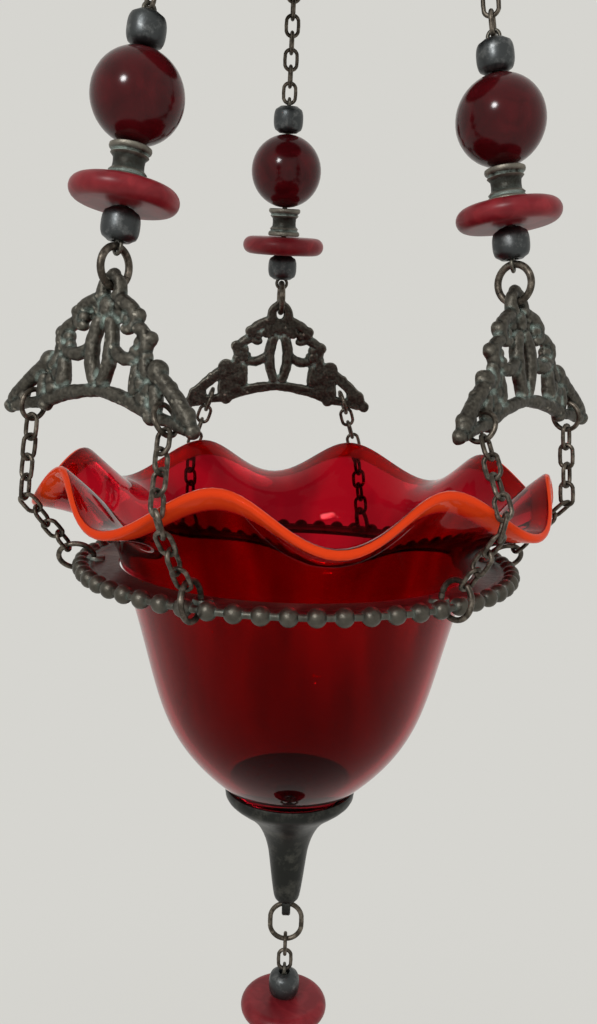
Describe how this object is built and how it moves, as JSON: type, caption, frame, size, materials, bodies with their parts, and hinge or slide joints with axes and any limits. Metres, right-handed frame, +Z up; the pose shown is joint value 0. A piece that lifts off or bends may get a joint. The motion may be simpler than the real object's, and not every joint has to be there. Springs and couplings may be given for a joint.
{
  "type": "hanging oil lamp",
  "caption": "Ruffled red glass bowl in a beaded metal ring, hung by beaded chains with openwork brackets, with a beaded pendant below.",
  "frame": {"origin": "top of the hanging ring's bore, where the hook bears", "axes": "+Z up along the lamp's middle, +X to the viewer's right in the picture, +Y away from the viewer"},
  "size_m": [0.1707, 0.158, 0.4061],
  "materials": {
    "cast_patina": "dark antique patina with pale green in the hollows",
    "dark_beads": "blackened, half gloss",
    "chain_metal": "dull antique",
    "ruby_glass": "clear deep red, polished",
    "ruby_beads": "deep red, polished"
  },
  "bodies": {
    "hanger": {"hanging_ring": "cast_patina"},
    "lamp": {"crown": "cast_patina", "top_bead_1": "dark_beads", "spool_1": "cast_patina", "lower_bead_1": "dark_beads", "eye_pin_1": "chain_metal", "upper_chain_1": "chain_metal", "string_ring_1": "cast_patina", "bracket_1": "cast_patina", "top_bead_2": "dark_beads", "spool_2": "cast_patina", "lower_bead_2": "dark_beads", "eye_pin_2": "chain_metal", "upper_chain_2": "chain_metal", "string_ring_2": "cast_patina", "bracket_2": "cast_patina", "top_bead_3": "dark_beads", "spool_3": "cast_patina", "lower_bead_3": "dark_beads", "eye_pin_3": "chain_metal", "upper_chain_3": "chain_metal", "string_ring_3": "cast_patina", "bracket_3": "cast_patina", "arm_ring_1a": "chain_metal", "lug_ring_1a": "chain_metal", "short_chain_1a": "chain_metal", "arm_ring_1b": "chain_metal", "lug_ring_1b": "chain_metal", "short_chain_1b": "chain_metal", "arm_ring_2a": "chain_metal", "lug_ring_2a": "chain_metal", "short_chain_2a": "chain_metal", "arm_ring_2b": "chain_metal", "lug_ring_2b": "chain_metal", "short_chain_2b": "chain_metal", "arm_ring_3a": "chain_metal", "lug_ring_3a": "chain_metal", "short_chain_3a": "chain_metal", "arm_ring_3b": "chain_metal", "lug_ring_3b": "chain_metal", "short_chain_3b": "chain_metal", "beaded_ring": "cast_patina", "glass_bowl": "ruby_glass", "finial_cup": "dark_beads"},
    "ball_1": {"ball_1": "ruby_beads"},
    "disc_1": {"disc_1": "ruby_beads"},
    "ball_2": {"ball_2": "ruby_beads"},
    "disc_2": {"disc_2": "ruby_beads"},
    "ball_3": {"ball_3": "ruby_beads"},
    "disc_3": {"disc_3": "ruby_beads"},
    "finial_ring": {"finial_ring": "chain_metal"},
    "pendant": {"pendant_chain": "chain_metal", "pendant_pin": "chain_metal", "pendant_bead": "dark_beads", "pendant_end_bead": "dark_beads"},
    "pendant_disc": {"pendant_disc": "ruby_beads"}
  },
  "joints": [
    {"name": "lamp_swing", "type": "hinge", "parent": "hanger", "child": "lamp", "pos_m": [0, 0, -0.0292], "axis": [0, 1, 0], "range_deg": [-30, 30]},
    {"name": "ball_1_spin", "type": "hinge", "parent": "lamp", "child": "ball_1", "pos_m": [0.0521, -0.02052, -0.10791], "axis": [-0.1375, 0.0542, 0.989], "continuous": true},
    {"name": "disc_1_spin", "type": "hinge", "parent": "lamp", "child": "disc_1", "pos_m": [0.05557, -0.02189, -0.13287], "axis": [-0.1375, 0.0542, 0.989], "continuous": true},
    {"name": "ball_2_spin", "type": "hinge", "parent": "lamp", "child": "ball_2", "pos_m": [-0.00828, 0.05538, -0.10791], "axis": [0.0218, -0.1462, 0.989], "continuous": true},
    {"name": "disc_2_spin", "type": "hinge", "parent": "lamp", "child": "disc_2", "pos_m": [-0.00883, 0.05907, -0.13287], "axis": [0.0218, -0.1462, 0.989], "continuous": true},
    {"name": "ball_3_spin", "type": "hinge", "parent": "lamp", "child": "ball_3", "pos_m": [-0.04383, -0.03486, -0.10791], "axis": [0.1157, 0.092, 0.989], "continuous": true},
    {"name": "disc_3_spin", "type": "hinge", "parent": "lamp", "child": "disc_3", "pos_m": [-0.04675, -0.03718, -0.13287], "axis": [0.1157, 0.092, 0.989], "continuous": true},
    {"name": "finial_ring_swing", "type": "hinge", "parent": "lamp", "child": "finial_ring", "pos_m": [0, 0, -0.35207], "axis": [1, 0, 0], "range_deg": [-40, 40]},
    {"name": "pendant_swing", "type": "hinge", "parent": "finial_ring", "child": "pendant", "pos_m": [0, 0, -0.36316], "axis": [0, 1, 0], "range_deg": [-20, 20]},
    {"name": "pendant_disc_spin", "type": "hinge", "parent": "pendant", "child": "pendant_disc", "pos_m": [0, 0, -0.3888], "axis": [0, 0, 1], "continuous": true}
  ]
}
